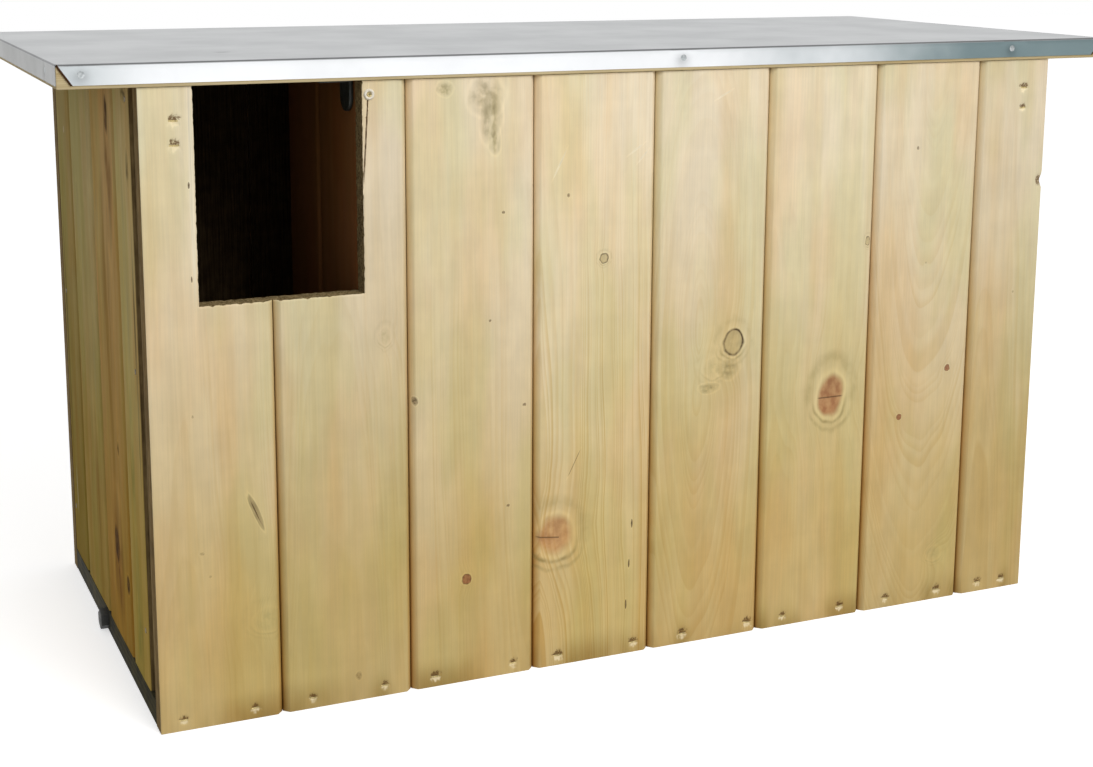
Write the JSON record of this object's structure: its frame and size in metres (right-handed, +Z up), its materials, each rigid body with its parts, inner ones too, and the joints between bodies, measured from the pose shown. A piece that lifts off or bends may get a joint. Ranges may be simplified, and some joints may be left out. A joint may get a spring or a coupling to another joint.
{
  "type": "owl nest box",
  "caption": "Long owl nest box of upright tongue-and-groove boards with a square entrance under a metal-clad roof lid hinged at the back.",
  "frame": {"origin": "centre of the box's footprint, on the ground", "axes": "+Z up, the entrance faces -Y, +X to the right seen from the front"},
  "size_m": [0.977, 0.4387, 0.5411],
  "materials": {
    "wall_boards": "planed, pale impregnated softwood",
    "side_boards": "planed, olive brown impregnated softwood",
    "inner_wood": "sawn, reddish brown",
    "floor_panel": "dark faced panel",
    "roof_deck": "planed softwood",
    "galvanised_sheet": "galvanised, satin",
    "plated_steel": "zinc plated",
    "black_steel": "black, satin",
    "pale_plastic": "off-white nylon"
  },
  "bodies": {
    "box": {"front_board_1": "wall_boards", "front_board_2": "wall_boards", "front_board_3": "wall_boards", "front_board_4": "wall_boards", "front_board_5": "wall_boards", "front_board_6": "wall_boards", "front_board_7": "wall_boards", "front_board_8": "wall_boards", "back_board_1": "wall_boards", "back_board_2": "wall_boards", "back_board_3": "wall_boards", "back_board_4": "wall_boards", "back_board_5": "wall_boards", "back_board_6": "wall_boards", "back_board_7": "wall_boards", "back_board_8": "wall_boards", "left_board_1": "side_boards", "left_board_2": "side_boards", "left_board_3": "side_boards", "left_board_4": "side_boards", "right_board_1": "side_boards", "right_board_2": "side_boards", "right_board_3": "side_boards", "right_board_4": "side_boards", "floor_panel": "floor_panel", "post_front_left": "inner_wood", "post_front_right": "inner_wood", "post_back_left": "inner_wood", "post_back_right": "inner_wood", "partition_board_1": "inner_wood", "partition_board_2": "inner_wood", "partition_screw": "plated_steel", "partition_washer": "pale_plastic", "front_staples": "plated_steel", "back_staples": "plated_steel", "side_nails": "plated_steel", "floor_screws": "plated_steel", "floor_hex_screws": "black_steel", "hinge_left_wall_leaf": "black_steel", "hinge_right_wall_leaf": "black_steel", "hinge_left_pin": "black_steel", "hinge_right_pin": "black_steel", "hinge_wall_screws": "black_steel"},
    "lid": {"roof_deck": "roof_deck", "roof_sheet": "galvanised_sheet", "roof_nails": "galvanised_sheet", "lid_catch": "black_steel", "lid_catch_screws": "black_steel", "hinge_left_lid_leaf": "black_steel", "hinge_right_lid_leaf": "black_steel", "hinge_lid_screws": "black_steel"}
  },
  "joints": [
    {"name": "lid_hinge", "type": "hinge", "parent": "box", "child": "lid", "pos_m": [0, 0.2175, 0.522], "axis": [-1, 0, 0], "range_deg": [0, 110]}
  ]
}
